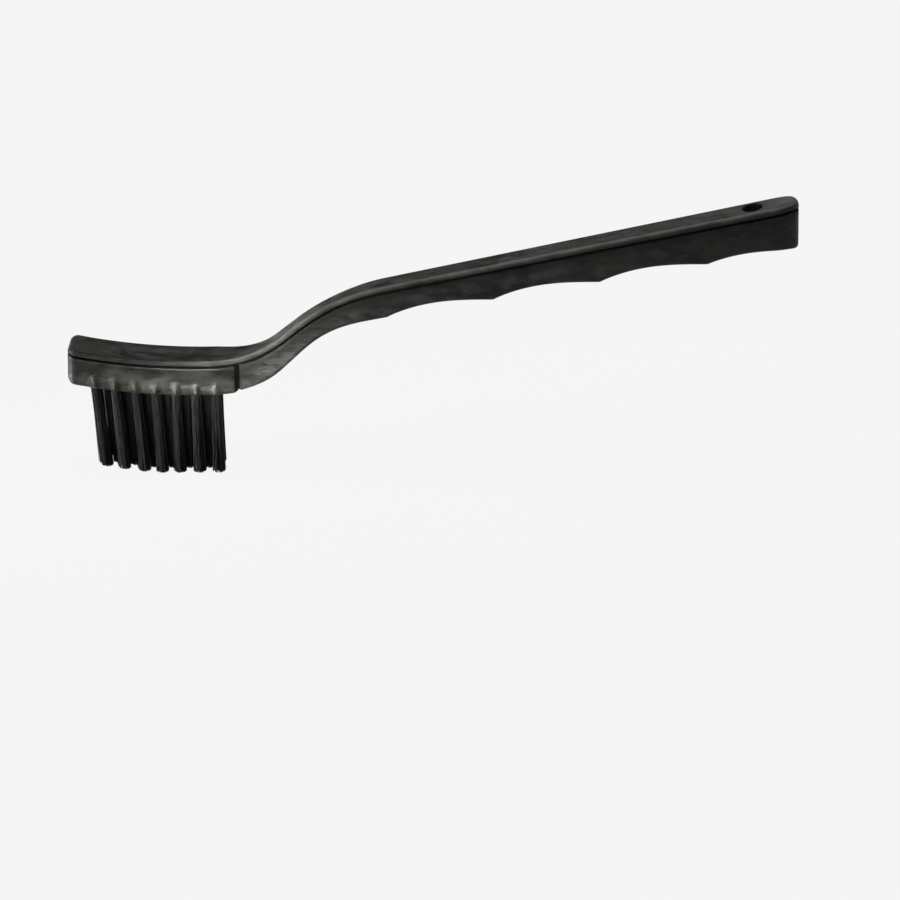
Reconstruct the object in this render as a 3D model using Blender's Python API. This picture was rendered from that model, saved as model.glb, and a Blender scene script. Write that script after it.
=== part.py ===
"""Anti-static hand brush, standing on its bristles.

One moulded handle runs from a thin head plate through a bent neck to a grip with finger grooves.
A moulded bristle block is glued under the head plate, on a tongue. Each tuft of conductive filament
is folded round a flat metal anchor in a blind hole of the block.

X runs from the nose of the head to the tail of the handle, Y across the brush and Z up. The parting
line is the dark groove along both sides, and all heights of the handle are measured from it.
The empty that carries every piece puts X = 0 in the middle of the brush's length.
"""

import math

import bmesh
import bpy

# Overall length, nose to tail, along X
LENGTH = 0.1711

# Both end faces lean out below, and the sections next to them follow
END_LEAN = math.radians(3.3)
END_LEAN_REACH = 0.0045

# Head: tapered plan, and the shallow upward curve of its parting line
HEAD_LENGTH = 0.0402
NOSE_WIDTH = 0.0093
HEAD_REAR_WIDTH = 0.0086
HEAD_CURVE_RADIUS = 0.143
HEAD_LOW_POINT = 0.0305
NOSE_PLAN_RADIUS = 0.0020
PLATE_RISE = 0.0016

# Neck: a tight bend up, a short straight and a long bend over into the grip
BEND_BEFORE_JOINT = 0.0023
NECK_RISE_RADIUS = 0.022
NECK_RISE_ANGLE = math.radians(39)
NECK_STRAIGHT = 0.0060
NECK_CREST_RADIUS = 0.049
NECK_ROOT_LENGTH = 0.0055
NECK_ROOT_DEPTH = 0.0072
NECK_WAIST_DEPTH = 0.0055
NECK_WIDTH = 0.0052
SHOULDER_BEFORE_JOINT = 0.0065
SHOULDER_AFTER_JOINT = 0.0080
WAIST_SHARE = 0.5

# Grip: straight, growing wider and deeper towards the tail, with finger grooves underneath
GRIP_ANGLE = math.radians(12.2)
GRIP_START_DEPTH = 0.0066
GRIP_START_WIDTH = 0.0064
TAIL_DEPTH = 0.0098
TAIL_WIDTH = 0.0074
TAIL_RISE = 0.00195
TAIL_ROUND_LENGTH = 0.0063
TAIL_ROUND_DEPTH = 0.0030
TAIL_CURVE_RADIUS = 0.014
TAIL_LAND = 0.0012
GROOVE_COUNT = 4
GROOVE_DEPTH = 0.0017
LAST_GROOVE_SHARE = 0.80
GROOVE_SKEW_SHARE = 0.82
HANG_HOLE_DIAMETER = 0.0046
HANG_HOLE_FROM_TAIL = 0.0108

# Edges of the handle's section
TOP_EDGE_RADIUS = 0.0009
UNDER_EDGE_RADIUS = 0.0009
SIDE_DRAFT = 0.00030
PARTING_GROOVE_HEIGHT = 0.00050
PARTING_GROOVE_DEPTH = 0.00030
LOWER_SIDE_INSET = 0.00008
CORNER_SHARE = 1 - math.sqrt(0.5)

# Bristle block, and the tongue and glue line that hold it
BLOCK_DEPTH = 0.0075
BLOCK_NOSE_RADIUS = 0.0016
BLOCK_END_RADIUS = 0.0010
BLOCK_REAR_RADIUS = 0.0010
BLOCK_EDGE_RADIUS = 0.0006
GLUE_LINE = 0.00020
JOINT_GAP = 0.00030
TONGUE_WIDTH = 0.0038
TONGUE_DEPTH = 0.0016
TONGUE_FROM_NOSE = 0.0050
TONGUE_CLEARANCE = 0.00015
FLARE = 0.00024
BULGE_HEIGHT = 0.00035
BULGE_TOP_SHARE = 0.45

# Tufts and their blind holes
OUTER_ROW_COUNT = 7
TUFTS_FROM_NOSE = 0.0063
TUFTS_FROM_JOINT = 0.0053
SIDE_WALL = 0.00070
HOLE_DIAMETER = 0.0026
HOLE_DEPTH = 0.0045
BRISTLE_LENGTH = 0.0210
FIRST_TUFT_LEAN = math.radians(3.8)
LAST_TUFT_LEAN = math.radians(-0.9)
TRIM_RADIUS = 0.110
TIP_FLAT = 0.00050
PLUG_CLEARANCE = 0.00010
PLUG_RECESS = 0.00030
STRANDS_PER_TUFT = 20
STRAND_SIDES = 3
STRAND_DIAMETER = 0.00028
TIP_SPREAD_SHARE = 0.43

# Flat anchors
ANCHOR_HEIGHT = 0.0016
ANCHOR_THICKNESS = 0.00030
ANCHOR_BITE = 0.00015
ANCHOR_CLEARANCE = 0.00007
FOLD_THICKNESS = 0.0006
ANCHOR_SKEW = math.radians(25)

# How far a cutter, or a shape to be joined, runs past the face that it meets
OVERRUN = 0.0010

# Facets
ROUND_SIDES = 28
HOLE_SIDES = 12
GROOVE_STEPS = 9
ARC_STEPS = 9
HEAD_STEPS = 10
CORNER_STEPS = 3
TAIL_STEPS = 6
BLOCK_STEPS_PER_TUFT = 4


def smooth(share):
    """0 to 1 with a level start and a level end."""
    share = min(max(share, 0.0), 1.0)
    return share * share * (3 - 2 * share)


def between(low, high, share):
    return low + (high - low) * share


def spread(start, end, steps):
    """Evenly spaced stations from start to end, both included."""
    return [between(start, end, i / steps) for i in range(steps + 1)]


# Where each stretch of the parting line begins and ends, along X and in height
RISE_X = HEAD_LENGTH - BEND_BEFORE_JOINT
RISE_START_ANGLE = math.asin((RISE_X - HEAD_LOW_POINT) / HEAD_CURVE_RADIUS)
RISE_END_X = RISE_X + NECK_RISE_RADIUS * (math.sin(NECK_RISE_ANGLE) - math.sin(RISE_START_ANGLE))
CREST_START_X = RISE_END_X + NECK_STRAIGHT * math.cos(NECK_RISE_ANGLE)
GRIP_X = CREST_START_X + NECK_CREST_RADIUS * (math.sin(NECK_RISE_ANGLE) - math.sin(GRIP_ANGLE))
TAIL_CURVE_X = LENGTH - TAIL_CURVE_RADIUS * math.sin(GRIP_ANGLE)

LOW_Z = BRISTLE_LENGTH + BLOCK_DEPTH
RISE_Z = LOW_Z + HEAD_CURVE_RADIUS * (1 - math.cos(RISE_START_ANGLE))
RISE_END_Z = RISE_Z + NECK_RISE_RADIUS * (math.cos(RISE_START_ANGLE) - math.cos(NECK_RISE_ANGLE))
CREST_START_Z = RISE_END_Z + NECK_STRAIGHT * math.sin(NECK_RISE_ANGLE)
GRIP_Z = CREST_START_Z + NECK_CREST_RADIUS * (math.cos(GRIP_ANGLE) - math.cos(NECK_RISE_ANGLE))
TAIL_CURVE_Z = GRIP_Z + (TAIL_CURVE_X - GRIP_X) * math.tan(GRIP_ANGLE)

JOINT_X = HEAD_LENGTH
NECK_ROOT_X = JOINT_X + NECK_ROOT_LENGTH
WAIST_X = between(NECK_ROOT_X, GRIP_X, WAIST_SHARE)
GROOVES_END_X = LENGTH - TAIL_LAND
GROOVE_PITCH = (GROOVES_END_X - GRIP_X) / (GROOVE_COUNT - 1 + LAST_GROOVE_SHARE)

# Where the tufts stand
TUFT_PITCH = (HEAD_LENGTH - TUFTS_FROM_NOSE - TUFTS_FROM_JOINT) / (OUTER_ROW_COUNT - 1)
ROW_INSET = SIDE_WALL + HOLE_DIAMETER / 2
TUFT_SPACING = math.hypot(TUFT_PITCH / 2, HEAD_REAR_WIDTH / 2 - ROW_INSET)


def parting_slope(x):
    """Angle of the parting line at x."""
    if x <= RISE_X:
        return math.asin((x - HEAD_LOW_POINT) / HEAD_CURVE_RADIUS)
    if x <= RISE_END_X:
        return math.asin(math.sin(RISE_START_ANGLE) + (x - RISE_X) / NECK_RISE_RADIUS)
    if x <= CREST_START_X:
        return NECK_RISE_ANGLE
    if x <= GRIP_X:
        return math.asin(math.sin(NECK_RISE_ANGLE) - (x - CREST_START_X) / NECK_CREST_RADIUS)
    if x <= TAIL_CURVE_X:
        return GRIP_ANGLE
    return math.asin((LENGTH - x) / TAIL_CURVE_RADIUS)


def parting_height(x):
    """Height of the parting line at x: tangent arcs and straights, one after the other."""
    angle = parting_slope(x)
    if x <= RISE_X:
        return LOW_Z + HEAD_CURVE_RADIUS * (1 - math.cos(angle))
    if x <= RISE_END_X:
        return RISE_Z + NECK_RISE_RADIUS * (math.cos(RISE_START_ANGLE) - math.cos(angle))
    if x <= CREST_START_X:
        return RISE_END_Z + (x - RISE_END_X) * math.tan(NECK_RISE_ANGLE)
    if x <= GRIP_X:
        return CREST_START_Z + NECK_CREST_RADIUS * (math.cos(angle) - math.cos(NECK_RISE_ANGLE))
    if x <= TAIL_CURVE_X:
        return GRIP_Z + (x - GRIP_X) * math.tan(GRIP_ANGLE)
    return TAIL_CURVE_Z + TAIL_CURVE_RADIUS * (math.cos(angle) - math.cos(GRIP_ANGLE))


def groove(x):
    """Depth of the finger groove at x: each rises steeply behind its crest and runs out flat."""
    if not GRIP_X < x < GROOVES_END_X:
        return 0.0
    number = min(int((x - GRIP_X) / GROOVE_PITCH), GROOVE_COUNT - 1)
    start = GRIP_X + number * GROOVE_PITCH
    width = min(start + GROOVE_PITCH, GROOVES_END_X) - start
    share = max(x - start, 0.0) / width
    return GROOVE_DEPTH * (width / GROOVE_PITCH) ** 2 * math.sin(math.pi * share**GROOVE_SKEW_SHARE)


def under_depth(x):
    """How far the underside lies below the parting line."""
    if x <= WAIST_X:
        share = smooth((x - NECK_ROOT_X) / (WAIST_X - NECK_ROOT_X))
        return between(NECK_ROOT_DEPTH, NECK_WAIST_DEPTH, share)
    if x <= GRIP_X:
        share = smooth((x - WAIST_X) / (GRIP_X - WAIST_X))
        return between(NECK_WAIST_DEPTH, GRIP_START_DEPTH, share)
    share = (x - GRIP_X) / (LENGTH - GRIP_X)
    return between(GRIP_START_DEPTH, TAIL_DEPTH, share) - groove(x)


def top_rise(x):
    """How far the top face lies above the parting line, square to it."""
    return between(PLATE_RISE, TAIL_RISE, max(x - GRIP_X, 0) / (LENGTH - GRIP_X))


def corner_inset(distance, length, depth=None):
    """How far a round or oval corner draws a side in, at a distance from the end face."""
    if distance >= length:
        return 0.0
    return (depth or length) * (1 - math.sqrt(1 - (1 - distance / length) ** 2))


def half_width(x):
    """Half the width of the handle at the parting line."""
    shoulder = JOINT_X - SHOULDER_BEFORE_JOINT
    share = smooth((x - shoulder) / (SHOULDER_BEFORE_JOINT + SHOULDER_AFTER_JOINT))
    width = between(between(NOSE_WIDTH, HEAD_REAR_WIDTH, x / JOINT_X), NECK_WIDTH, share)
    if x > GRIP_X:
        width = between(GRIP_START_WIDTH, TAIL_WIDTH, (x - GRIP_X) / (LENGTH - GRIP_X))
    elif x > WAIST_X:
        width = between(NECK_WIDTH, GRIP_START_WIDTH, smooth((x - WAIST_X) / (GRIP_X - WAIST_X)))
    nose = corner_inset(x, NOSE_PLAN_RADIUS)
    tail = corner_inset(LENGTH - x, TAIL_ROUND_LENGTH, TAIL_ROUND_DEPTH)
    return width / 2 - nose - tail


def leaned(x, z):
    """Where a section's point at height z lies along X, next to the leaning end faces."""
    nose_share = max(1 - x / END_LEAN_REACH, 0)
    tail_share = max(1 - (LENGTH - x) / END_LEAN_REACH, 0)
    above_nose_corner = z + BLOCK_DEPTH - BLOCK_NOSE_RADIUS
    above_tail_corner = z + TAIL_DEPTH
    return x + math.tan(END_LEAN) * (above_nose_corner * nose_share - above_tail_corner * tail_share)


def ring(x, half):
    """A closed section at x from the points of its right half, top to bottom, in heights above the parting line."""
    base = parting_height(x)
    right = [(leaned(x, z), y, base + z) for y, z in half]
    left = [(px, -y, z) for px, y, z in reversed(right)]
    return right + left


def rounded(y, z, radius, sign):
    """Three points round an outer corner at (y, z). sign is 1 where the section goes from top to side.

    Where the section gets narrow, at the round ends, the corner takes half of what is left.
    """
    radius = min(radius, y / 2)
    near = radius * CORNER_SHARE
    points = [(y - radius, z), (y - near, z - sign * near), (y, z - sign * radius)]
    return points if sign > 0 else points[::-1]


def handle_ring(x):
    """Section of the whole moulding: top, parting groove, drafted side and underside."""
    width = half_width(x)
    top = top_rise(x) / math.cos(parting_slope(x))
    lip = PARTING_GROOVE_HEIGHT / 2
    lower = width - LOWER_SIDE_INSET
    half = rounded(width, top, TOP_EDGE_RADIUS, 1)
    half += [(width, lip), (width - PARTING_GROOVE_DEPTH, 0), (lower, -lip)]
    half += rounded(lower - SIDE_DRAFT, -under_depth(x), UNDER_EDGE_RADIUS, -1)
    return ring(x, half)


def link(obj, parent, look=None):
    bpy.context.scene.collection.objects.link(obj)
    obj.parent = parent
    if look is not None:
        obj.data.materials.append(look)
    return obj


def mesh_object(name, mesh_tool, parent, look=None):
    """A new object from a filled bmesh, smooth where its faces nearly line up."""
    bmesh.ops.recalc_face_normals(mesh_tool, faces=mesh_tool.faces)
    data = bpy.data.meshes.new(name)
    mesh_tool.to_mesh(data)
    mesh_tool.free()
    data.shade_smooth()
    data.set_sharp_from_angle(angle=math.radians(30))
    return link(bpy.data.objects.new(name, data), parent, look)


def add_loft(mesh_tool, rings):
    """Skins a row of equal rings and closes both ends."""
    rows = [[mesh_tool.verts.new(point) for point in points] for points in rings]
    for row, following in zip(rows, rows[1:]):
        for i, corner in enumerate(row):
            j = (i + 1) % len(row)
            mesh_tool.faces.new((corner, following[i], following[j], row[j]))
    mesh_tool.faces.new(rows[0])
    mesh_tool.faces.new(rows[-1][::-1])


def loft(name, rings, parent, look=None):
    mesh_tool = bmesh.new()
    add_loft(mesh_tool, rings)
    return mesh_object(name, mesh_tool, parent, look)


def as_tool(obj):
    """Marks a cutter or a shape to be joined, which isn't a piece of the brush."""
    obj.hide_render = True
    obj.display_type = "WIRE"
    return obj


def combine(obj, tool, operation, own_overlaps=False):
    change = obj.modifiers.new(tool.name, "BOOLEAN")
    change.operation = operation
    change.object = tool
    change.use_self = own_overlaps
    return change


def material(name, colour, roughness, metallic=0.0):
    look = bpy.data.materials.new(name)
    look.use_nodes = True
    shader = look.node_tree.nodes["Principled BSDF"]
    shader.inputs["Base Color"].default_value = (*colour, 1)
    shader.inputs["Roughness"].default_value = roughness
    shader.inputs["Metallic"].default_value = metallic
    return look


def end_stations(face, length, direction, steps=CORNER_STEPS):
    """Stations round the corner next to an end face, closer together at the face."""
    turns = spread(0, math.pi / 2, steps)
    return [face + direction * length * (1 - math.cos(turn)) for turn in turns]


def in_order(stations):
    """Sorted stations without those that fall on, or nearly on, an earlier one."""
    kept = []
    closest = OVERRUN / 20
    for x in sorted(stations):
        if not kept or x - kept[-1] > closest:
            kept.append(x)
    return kept


def head_stations():
    return spread(NOSE_PLAN_RADIUS, JOINT_X, HEAD_STEPS)


def handle_stations():
    stations = end_stations(0, NOSE_PLAN_RADIUS, 1) + head_stations()
    stations += spread(JOINT_X, RISE_END_X, ARC_STEPS)
    stations += spread(RISE_END_X, CREST_START_X, 2)
    stations += spread(CREST_START_X, GRIP_X, ARC_STEPS)
    for number in range(GROOVE_COUNT):
        start = GRIP_X + number * GROOVE_PITCH
        end = min(start + GROOVE_PITCH, GROOVES_END_X)
        stations += [between(start, end, (i / GROOVE_STEPS) ** 1.5) for i in range(GROOVE_STEPS + 1)]
    stations.append(TAIL_CURVE_X)
    stations += end_stations(LENGTH, TAIL_ROUND_LENGTH, -1, TAIL_STEPS)
    return in_order(stations)


def box_rings(stations, half_breadth, top, bottom):
    """A bar that follows the parting line, between two heights that are measured from it."""
    return [ring(x, [(half_breadth, top), (half_breadth, bottom)]) for x in stations]


def make_handle(parent, look):
    """Head plate, tongue, neck and grip in one moulding."""
    handle = loft("handle", [handle_ring(x) for x in handle_stations()], parent, look)
    under_plate = [-OVERRUN, 0, *head_stations()]
    room = box_rings(in_order(under_plate), NOSE_WIDTH, GLUE_LINE / 2, -BLOCK_DEPTH - OVERRUN)
    combine(handle, as_tool(loft("block_room", room, parent)), "DIFFERENCE")
    along = [TONGUE_FROM_NOSE, *[x for x in head_stations() if x > TONGUE_FROM_NOSE], JOINT_X + OVERRUN]
    tongue = box_rings(in_order(along), TONGUE_WIDTH / 2, PLATE_RISE / 2, -TONGUE_DEPTH)
    combine(handle, as_tool(loft("tongue", tongue, parent)), "UNION")
    combine(handle, hang_hole_cutter(parent), "DIFFERENCE")
    return handle


def hang_hole_cutter(parent):
    """A pin square to the grip's top face."""
    mesh_tool = bmesh.new()
    radius = HANG_HOLE_DIAMETER / 2
    length = 2 * (TAIL_RISE + TAIL_DEPTH + OVERRUN)
    bmesh.ops.create_cone(
        mesh_tool, cap_ends=True, segments=ROUND_SIDES, radius1=radius, radius2=radius, depth=length
    )
    cutter = mesh_object("hang_hole", mesh_tool, parent)
    x = LENGTH - HANG_HOLE_FROM_TAIL
    cutter.location = (x, 0, parting_height(x))
    cutter.rotation_euler = (0, -GRIP_ANGLE, 0)
    return as_tool(cutter)


def tuft_places():
    """(name, x, y) of each tuft. The middle row stands in the gaps of the outer two, so it has one less."""
    outer = [TUFTS_FROM_NOSE + i * TUFT_PITCH for i in range(OUTER_ROW_COUNT)]
    middle = [x + TUFT_PITCH / 2 for x in outer[:-1]]
    rows = (("front", -1, outer), ("middle", 0, middle), ("back", 1, outer))
    return [
        (f"{row}_{i + 1}", x, side * (half_width(x) - ROW_INSET))
        for row, side, stations in rows
        for i, x in enumerate(stations)
    ]


def block_underside(x):
    return parting_height(x) - BLOCK_DEPTH


def bulge(x):
    """How far the thin wall beside each outer tuft stands out."""
    first = TUFTS_FROM_NOSE - TUFT_PITCH / 2
    last = HEAD_LENGTH - TUFTS_FROM_JOINT + TUFT_PITCH / 2
    if not first < x < last:
        return 0.0
    wave = 0.5 + 0.5 * math.cos(2 * math.pi * (x - TUFTS_FROM_NOSE) / TUFT_PITCH)
    return BULGE_HEIGHT * wave


def block_ring(x, end):
    """Section of the bristle block: chamfered to the seam, then straight, then flared and bulged at the tufts."""
    inset = corner_inset(x, NOSE_PLAN_RADIUS) + corner_inset(end - x, BLOCK_END_RADIUS)
    width = half_width(max(x, NOSE_PLAN_RADIUS)) - inset - LOWER_SIDE_INSET
    depth = BLOCK_DEPTH - corner_inset(x, BLOCK_NOSE_RADIUS) - corner_inset(end - x, BLOCK_REAR_RADIUS)
    lip = PARTING_GROOVE_HEIGHT / 2
    side = width - SIDE_DRAFT
    half = [
        (width - PARTING_GROOVE_DEPTH, -GLUE_LINE / 2),
        (width, -lip),
        (between(width, side, BULGE_TOP_SHARE), -depth * BULGE_TOP_SHARE),
    ]
    half += rounded(side + FLARE + bulge(x), -depth, BLOCK_EDGE_RADIUS, -1)
    return ring(x, half)


def make_block(parent, look):
    """Bristle block, with the groove for the tongue and a blind hole for each tuft."""
    end = JOINT_X - JOINT_GAP
    stations = end_stations(0, max(NOSE_PLAN_RADIUS, BLOCK_NOSE_RADIUS), 1)
    stations += end_stations(end, max(BLOCK_END_RADIUS, BLOCK_REAR_RADIUS), -1)
    step = TUFT_PITCH / BLOCK_STEPS_PER_TUFT
    count = (OUTER_ROW_COUNT - 1) * BLOCK_STEPS_PER_TUFT
    stations += [TUFTS_FROM_NOSE + step * i for i in range(-1, count + 2)]
    block = loft("bristle_block", [block_ring(x, end) for x in in_order(stations)], parent, look)

    along = [x for x in head_stations() if x > TONGUE_FROM_NOSE]
    along = [TONGUE_FROM_NOSE - TONGUE_CLEARANCE, *along, JOINT_X + OVERRUN]
    half_breadth = TONGUE_WIDTH / 2 + TONGUE_CLEARANCE
    groove_rings = box_rings(in_order(along), half_breadth, OVERRUN, -TONGUE_DEPTH - TONGUE_CLEARANCE)
    combine(block, as_tool(loft("tongue_groove", groove_rings, parent)), "DIFFERENCE")
    combine(block, tuft_hole_cutter(parent), "DIFFERENCE")
    return block


def turned(x, y, angle):
    return x * math.cos(angle) - y * math.sin(angle), x * math.sin(angle) + y * math.cos(angle)


def hole_outline():
    """A round hole with two ears, where the ends of the anchor cut into its wall."""
    radius = HOLE_DIAMETER / 2
    ear = ANCHOR_THICKNESS / 2 + ANCHOR_CLEARANCE
    reach = radius + ANCHOR_BITE + ANCHOR_CLEARANCE
    first = math.asin(ear / radius)
    turns = spread(first, math.pi - first, HOLE_SIDES // 2)
    half = [(reach, ear)]
    half += [(radius * math.cos(turn), radius * math.sin(turn)) for turn in turns]
    half += [(-reach, ear)]
    whole = half + [(-x, -y) for x, y in half]
    return [turned(x, y, ANCHOR_SKEW) for x, y in whole]


def tuft_hole_cutter(parent):
    """All the blind holes, as one cutter."""
    mesh_tool = bmesh.new()
    for _, x, y in tuft_places():
        mouth = block_underside(x)
        outline = [(x + dx, y + dy) for dx, dy in hole_outline()]
        levels = (mouth - OVERRUN, mouth + HOLE_DEPTH)
        add_loft(mesh_tool, [[(px, py, z) for px, py in outline] for z in levels])
    return as_tool(mesh_object("tuft_holes", mesh_tool, parent))


def anchor_level():
    """Height of the anchor's middle above the mouth of its hole."""
    return HOLE_DEPTH - PLUG_CLEARANCE - FOLD_THICKNESS - ANCHOR_HEIGHT / 2


def add_flat_bar(mesh_tool, centre, breadth, thickness, height):
    """An upright flat bar, turned to the anchors' skew."""
    corners = ((1, 1), (-1, 1), (-1, -1), (1, -1))
    outline = [turned(sx * breadth / 2, sy * thickness / 2, ANCHOR_SKEW) for sx, sy in corners]
    x, y, z = centre
    levels = (z - height / 2, z + height / 2)
    add_loft(mesh_tool, [[(x + dx, y + dy, level) for dx, dy in outline] for level in levels])


def make_anchor(name, x, y, parent, look):
    mesh_tool = bmesh.new()
    breadth = HOLE_DIAMETER + 2 * ANCHOR_BITE
    add_flat_bar(mesh_tool, (0, 0, 0), breadth, ANCHOR_THICKNESS, ANCHOR_HEIGHT)
    anchor = mesh_object(f"anchor_{name}", mesh_tool, parent, look)
    anchor.location = (x, y, block_underside(x) + anchor_level())
    return anchor


def anchor_window_cutter(parent):
    """The room that each anchor takes in the fold of its tuft, as one cutter."""
    mesh_tool = bmesh.new()
    thickness = ANCHOR_THICKNESS + 2 * ANCHOR_CLEARANCE
    height = ANCHOR_HEIGHT + 2 * ANCHOR_CLEARANCE
    for _, x, y in tuft_places():
        centre = (x, y, block_underside(x) + anchor_level())
        add_flat_bar(mesh_tool, centre, HOLE_DIAMETER + OVERRUN, thickness, height)
    return as_tool(mesh_object("anchor_windows", mesh_tool, parent))


def trim_height(x):
    """Height at which the filaments are cut: a shallow curve, flat where the brush stands on it."""
    offset = x - HEAD_LOW_POINT
    return max(0.0, TRIM_RADIUS - math.sqrt(TRIM_RADIUS**2 - offset**2) - TIP_FLAT)


def seed_place(number, count, radius):
    """Place of one filament in a round bundle, as seeds sit in a sunflower, and its turn."""
    turn = number * math.pi * (3 - math.sqrt(5))
    reach = radius * math.sqrt((number + 0.5) / count)
    return reach * math.cos(turn), reach * math.sin(turn), turn


def add_strand(mesh_tool, root, tip, turn):
    """One straight filament between two level cuts."""
    rings = []
    for x, y, z in (root, tip):
        corners = []
        for i in range(STRAND_SIDES):
            angle = turn + 2 * math.pi * i / STRAND_SIDES
            corners.append((x + STRAND_DIAMETER / 2 * math.cos(angle), y + STRAND_DIAMETER / 2 * math.sin(angle), z))
        rings.append(corners)
    add_loft(mesh_tool, rings)


def make_tuft(name, x, y, parent, look, windows):
    """A folded bundle: the packed root in its hole, and the filaments that spread from it."""
    mesh_tool = bmesh.new()
    radius = HOLE_DIAMETER / 2 - PLUG_CLEARANCE
    plug_length = HOLE_DEPTH - PLUG_CLEARANCE - PLUG_RECESS
    turns = spread(0, 2 * math.pi, HOLE_SIDES)[:-1]
    outline = [turned(radius * math.cos(turn), radius * math.sin(turn), ANCHOR_SKEW) for turn in turns]
    levels = (PLUG_RECESS, PLUG_RECESS + plug_length)
    add_loft(mesh_tool, [[(px, py, z) for px, py in outline] for z in levels])

    mouth = block_underside(x)
    root_radius = radius * math.cos(math.pi / HOLE_SIDES) - STRAND_DIAMETER / 2
    tip_radius = TUFT_SPACING * TIP_SPREAD_SHARE
    along = (x - TUFTS_FROM_NOSE) / (HEAD_LENGTH - TUFTS_FROM_NOSE - TUFTS_FROM_JOINT)
    lean = mouth * math.tan(between(FIRST_TUFT_LEAN, LAST_TUFT_LEAN, along))
    for number in range(STRANDS_PER_TUFT):
        root_x, root_y, turn = seed_place(number, STRANDS_PER_TUFT, root_radius)
        tip_x, tip_y, _ = seed_place(number, STRANDS_PER_TUFT, tip_radius)
        tip_x += lean
        tip_z = trim_height(x + tip_x) - mouth
        add_strand(mesh_tool, (root_x, root_y, 2 * PLUG_RECESS), (tip_x, tip_y, tip_z), turn)
    tuft = mesh_object(f"tuft_{name}", mesh_tool, parent, look)
    tuft.location = (x, y, mouth)
    combine(tuft, windows, "DIFFERENCE", own_overlaps=True)
    return tuft


def main():
    for obj in list(bpy.data.objects):
        bpy.data.objects.remove(obj)
    carrier = bpy.data.objects.new("brush", None)
    bpy.context.scene.collection.objects.link(carrier)
    carrier.location = (-LENGTH / 2, 0, 0)

    plastic = material("handle_plastic", (0.035, 0.036, 0.033), 0.42)
    block_plastic = material("block_plastic", (0.040, 0.041, 0.036), 0.38)
    filament = material("filament", (0.010, 0.010, 0.011), 0.45)
    metal = material("anchor_metal", (0.62, 0.55, 0.40), 0.30, metallic=1.0)

    make_handle(carrier, plastic)
    make_block(carrier, block_plastic)
    windows = anchor_window_cutter(carrier)
    for name, x, y in tuft_places():
        make_tuft(name, x, y, carrier, filament, windows)
        make_anchor(name, x, y, carrier, metal)


main()
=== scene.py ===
"""Looks of the anti-static hand brush: fine shapes, filaments, finishes, light and camera.

Heights and stations repeat the construction: x runs from the nose of the head to the tail of the
handle, and heights of the mouldings are measured from the parting line. row_point turns them into
the frame, where X = 0 is the middle of the brush.

A point of a moulding's section is (y, z, wear_and_painted_light). From 0 to 1 hands have rubbed the
plastic pale, and on the top at the tail this pale is also a painted highlight. From 0 to -1 the value
paints shade, dark and dull, in the seam and on the side below it, beside the joint, at the nose and
along the head's front edge.
"""

import math
import random

import bmesh
import bpy
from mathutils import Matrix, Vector


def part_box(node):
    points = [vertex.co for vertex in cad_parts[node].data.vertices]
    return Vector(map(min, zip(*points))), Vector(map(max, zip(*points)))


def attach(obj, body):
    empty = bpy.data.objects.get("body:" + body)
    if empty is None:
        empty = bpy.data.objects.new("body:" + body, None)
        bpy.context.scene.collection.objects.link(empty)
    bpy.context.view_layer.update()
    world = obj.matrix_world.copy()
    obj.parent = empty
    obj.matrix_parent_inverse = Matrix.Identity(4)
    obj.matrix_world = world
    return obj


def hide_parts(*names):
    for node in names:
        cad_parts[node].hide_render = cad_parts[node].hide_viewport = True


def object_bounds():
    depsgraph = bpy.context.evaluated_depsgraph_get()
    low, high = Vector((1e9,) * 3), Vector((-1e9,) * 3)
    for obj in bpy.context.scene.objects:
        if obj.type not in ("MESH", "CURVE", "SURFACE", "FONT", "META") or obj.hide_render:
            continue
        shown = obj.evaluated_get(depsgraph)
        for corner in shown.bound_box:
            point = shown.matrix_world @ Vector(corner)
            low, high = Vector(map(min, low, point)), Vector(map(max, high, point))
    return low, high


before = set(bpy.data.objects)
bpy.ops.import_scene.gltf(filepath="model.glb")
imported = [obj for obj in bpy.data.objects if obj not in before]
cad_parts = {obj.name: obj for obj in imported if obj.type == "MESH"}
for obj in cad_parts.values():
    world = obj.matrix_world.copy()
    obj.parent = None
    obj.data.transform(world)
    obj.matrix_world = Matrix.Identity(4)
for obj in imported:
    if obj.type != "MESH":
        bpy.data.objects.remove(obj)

CAD_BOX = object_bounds()
MM = 0.001

# Camera: the photograph looks straight at the side of the brush, from above
PICTURE_SIDE = 900
FOCAL_PIXELS = 2500
CAMERA_PLACE = Vector((4.87, -535.64, 283.26)) * MM
CAMERA_TARGET = Vector((4.87, 0, 4.42)) * MM

# Overall length, nose to tail, as the frame has it
LENGTH = CAD_BOX[1].x - CAD_BOX[0].x

# Both end faces lean out below, and the sections next to them follow
END_LEAN = math.radians(3.3)
END_LEAN_REACH = 4.5 * MM

# Head
HEAD_LENGTH = 40.2 * MM
NOSE_WIDTH = 9.3 * MM
HEAD_REAR_WIDTH = 8.6 * MM
HEAD_CURVE_RADIUS = 143 * MM
HEAD_LOW_POINT = 30.5 * MM
NOSE_PLAN_RADIUS = 2.0 * MM
PLATE_RISE = 1.6 * MM

# Neck
BEND_BEFORE_JOINT = 2.3 * MM
NECK_RISE_RADIUS = 22 * MM
NECK_RISE_ANGLE = math.radians(39)
NECK_STRAIGHT = 6.0 * MM
NECK_CREST_RADIUS = 49 * MM
NECK_ROOT_LENGTH = 5.5 * MM
NECK_ROOT_DEPTH = 7.2 * MM
NECK_WAIST_DEPTH = 5.5 * MM
NECK_WIDTH = 5.2 * MM
SHOULDER_BEFORE_JOINT = 6.5 * MM
SHOULDER_AFTER_JOINT = 8.0 * MM
WAIST_SHARE = 0.5

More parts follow.
